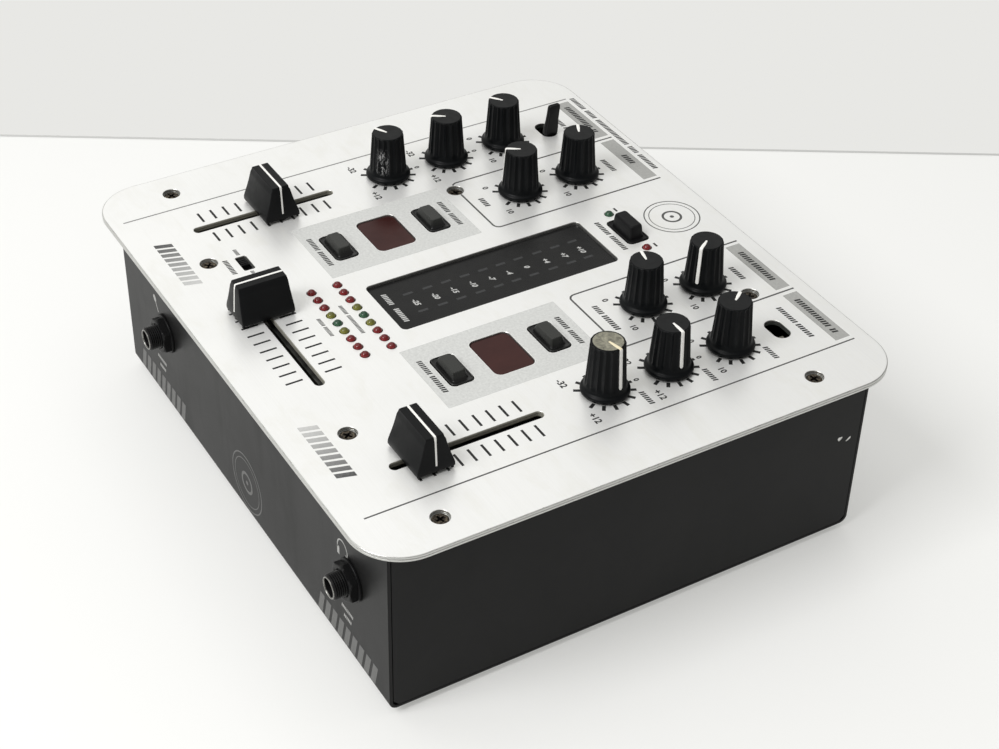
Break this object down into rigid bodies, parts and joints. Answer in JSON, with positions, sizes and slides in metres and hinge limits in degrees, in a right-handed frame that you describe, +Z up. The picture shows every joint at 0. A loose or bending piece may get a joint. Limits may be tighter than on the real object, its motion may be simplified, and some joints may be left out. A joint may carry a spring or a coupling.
{
  "type": "dj mixer",
  "caption": "Tabletop two-channel audio mixer: black folded-steel case, brushed panel, fluted knobs, wedge-cap faders, push buttons, meter window, indicator lights and sockets.",
  "frame": {"origin": "floor level, under the middle of the panel", "axes": "+Z up, +Y towards the back with the connectors, +X to the user's right"},
  "size_m": [0.2312, 0.2026, 0.095],
  "materials": {
    "brushed_panel": "brushed and clear lacquered, printed in black and grey",
    "case_paint": "satin black powder coat, fine grain",
    "foot_rubber": "matt",
    "screw_steel": "dark zinc",
    "knob_plastic": "satin, finely fluted",
    "cap_plastic": "satin moulded",
    "fader_steel": "plain",
    "button_rubber": "dark smoky silicone",
    "switch_plastic": "satin moulded",
    "red_window": "dark red transparent, glossy",
    "smoked_window": "smoked, glossy, lightly scratched",
    "led_red": "tinted clear epoxy",
    "led_green": "tinted clear epoxy",
    "socket_plastic": "moulded",
    "circuit_board": "green solder mask"
  },
  "bodies": {
    "root": {"top_panel": "brushed_panel", "chassis_tub": "case_paint", "side_plate_left": "case_paint", "side_plate_right": "case_paint", "foot_front_left": "foot_rubber", "foot_front_right": "foot_rubber", "foot_rear_left": "foot_rubber", "foot_rear_right": "foot_rubber", "panel_screw_01": "screw_steel", "panel_screw_02": "screw_steel", "panel_screw_03": "screw_steel", "panel_screw_04": "screw_steel", "panel_screw_05": "screw_steel", "panel_screw_06": "screw_steel", "panel_screw_07": "screw_steel", "panel_screw_08": "screw_steel", "panel_screw_09": "screw_steel", "panel_screw_10": "screw_steel", "ch1_fader_housing": "fader_steel", "ch2_fader_housing": "fader_steel", "crossfader_housing": "fader_steel", "ch1_tempo_window": "red_window", "ch2_tempo_window": "red_window", "level_meter_window": "smoked_window", "tempo_led_array": "led_red", "status_led_green": "led_green", "status_led_red": "led_red", "mic_jack": "socket_plastic", "mic_jack_nut": "socket_plastic", "phones_jack": "socket_plastic", "phones_jack_nut": "socket_plastic", "control_board": "circuit_board", "rca_socket_block": "socket_plastic", "connector_board": "circuit_board", "power_inlet": "socket_plastic"},
    "ch1_low_control": {"ch1_low_knob": "knob_plastic"},
    "ch1_high_control": {"ch1_high_knob": "knob_plastic"},
    "ch1_gain_control": {"ch1_gain_knob": "knob_plastic"},
    "ch2_low_control": {"ch2_low_knob": "knob_plastic"},
    "ch2_high_control": {"ch2_high_knob": "knob_plastic"},
    "ch2_gain_control": {"ch2_gain_knob": "knob_plastic"},
    "cue_mix_control": {"cue_mix_knob": "knob_plastic"},
    "cue_level_control": {"cue_level_knob": "knob_plastic"},
    "mic_level_control": {"mic_level_knob": "knob_plastic"},
    "main_level_control": {"main_level_knob": "knob_plastic"},
    "ch1_fader": {"ch1_fader_cap": "cap_plastic", "ch1_fader_carriage": "fader_steel"},
    "ch2_fader": {"ch2_fader_cap": "cap_plastic", "ch2_fader_carriage": "fader_steel"},
    "crossfader": {"crossfader_cap": "cap_plastic", "crossfader_carriage": "fader_steel"},
    "ch1_sync_key": {"ch1_sync_button": "button_rubber"},
    "ch1_beat_key": {"ch1_beat_button": "button_rubber"},
    "ch2_sync_key": {"ch2_sync_button": "button_rubber"},
    "ch2_beat_key": {"ch2_beat_button": "button_rubber"},
    "meter_key": {"meter_button": "switch_plastic"},
    "ch1_source_switch": {"ch1_source_lever": "switch_plastic"},
    "ch2_source_switch": {"ch2_source_lever": "switch_plastic"},
    "curve_switch": {"curve_slider": "switch_plastic"},
    "power_switch": {"power_rocker": "switch_plastic"}
  },
  "joints": [
    {"name": "ch1_low_turn", "type": "hinge", "parent": "root", "child": "ch1_low_control", "pos_m": [-0.076, 0.0047, 0.0745], "axis": [0, 0, -1], "range_deg": [-32, 268]},
    {"name": "ch1_high_turn", "type": "hinge", "parent": "root", "child": "ch1_high_control", "pos_m": [-0.076, 0.0301, 0.0745], "axis": [0, 0, -1], "range_deg": [-2, 298]},
    {"name": "ch1_gain_turn", "type": "hinge", "parent": "root", "child": "ch1_gain_control", "pos_m": [-0.076, 0.0555, 0.0745], "axis": [0, 0, -1], "range_deg": [-22, 278]},
    {"name": "ch2_low_turn", "type": "hinge", "parent": "root", "child": "ch2_low_control", "pos_m": [0.076, 0.0047, 0.0745], "axis": [0, 0, -1], "range_deg": [-228, 72]},
    {"name": "ch2_high_turn", "type": "hinge", "parent": "root", "child": "ch2_high_control", "pos_m": [0.076, 0.0301, 0.0745], "axis": [0, 0, -1], "range_deg": [-240, 60]},
    {"name": "ch2_gain_turn", "type": "hinge", "parent": "root", "child": "ch2_gain_control", "pos_m": [0.076, 0.0555, 0.0745], "axis": [0, 0, -1], "range_deg": [-113, 187]},
    {"name": "cue_mix_turn", "type": "hinge", "parent": "root", "child": "cue_mix_control", "pos_m": [-0.0417, 0.0429, 0.0745], "axis": [0, 0, -1], "range_deg": [-2, 298]},
    {"name": "cue_level_turn", "type": "hinge", "parent": "root", "child": "cue_level_control", "pos_m": [-0.0417, 0.0683, 0.0745], "axis": [0, 0, -1], "range_deg": [-87, 213]},
    {"name": "mic_level_turn", "type": "hinge", "parent": "root", "child": "mic_level_control", "pos_m": [0.0417, 0.0429, 0.0745], "axis": [0, 0, -1], "range_deg": [-74, 226]},
    {"name": "main_level_turn", "type": "hinge", "parent": "root", "child": "main_level_control", "pos_m": [0.0417, 0.0683, 0.0745], "axis": [0, 0, -1], "range_deg": [-296, 4]},
    {"name": "ch1_fader_slide", "type": "slide", "parent": "root", "child": "ch1_fader", "axis": [0, 1, 0], "range_m": [-0.0256, 0.0194]},
    {"name": "ch2_fader_slide", "type": "slide", "parent": "root", "child": "ch2_fader", "axis": [0, 1, 0], "range_m": [-0.0056, 0.0394]},
    {"name": "crossfader_slide", "type": "slide", "parent": "root", "child": "crossfader", "axis": [1, 0, 0], "range_m": [-0.0038, 0.0412]},
    {"name": "ch1_sync_press", "type": "slide", "parent": "root", "child": "ch1_sync_key", "axis": [0, 0, 1], "range_m": [-0.0012, 0], "stiffness_N_per_m": 400, "springref_m": 0.0008},
    {"name": "ch1_beat_press", "type": "slide", "parent": "root", "child": "ch1_beat_key", "axis": [0, 0, 1], "range_m": [-0.0012, 0], "stiffness_N_per_m": 400, "springref_m": 0.0008},
    {"name": "ch2_sync_press", "type": "slide", "parent": "root", "child": "ch2_sync_key", "axis": [0, 0, 1], "range_m": [-0.0012, 0], "stiffness_N_per_m": 400, "springref_m": 0.0008},
    {"name": "ch2_beat_press", "type": "slide", "parent": "root", "child": "ch2_beat_key", "axis": [0, 0, 1], "range_m": [-0.0012, 0], "stiffness_N_per_m": 400, "springref_m": 0.0008},
    {"name": "meter_press", "type": "slide", "parent": "root", "child": "meter_key", "axis": [0, 0, 1], "range_m": [-0.0012, 0], "stiffness_N_per_m": 400, "springref_m": 0.0008},
    {"name": "ch1_source_flip", "type": "hinge", "parent": "root", "child": "ch1_source_switch", "pos_m": [-0.076, 0.0755, 0.0575], "axis": [0, 1, 0], "range_deg": [-19.4, 0]},
    {"name": "ch2_source_flip", "type": "hinge", "parent": "root", "child": "ch2_source_switch", "pos_m": [0.076, 0.0755, 0.0575], "axis": [0, 1, 0], "range_deg": [-19.4, 0]},
    {"name": "curve_switch_slide", "type": "slide", "parent": "root", "child": "curve_switch", "axis": [1, 0, 0], "range_m": [0, 0.0038]},
    {"name": "power_rocker_flip", "type": "hinge", "parent": "root", "child": "power_switch", "pos_m": [-0.076, 0.0913, 0.038], "axis": [0, 0, 1], "range_deg": [-14, 0]}
  ]
}
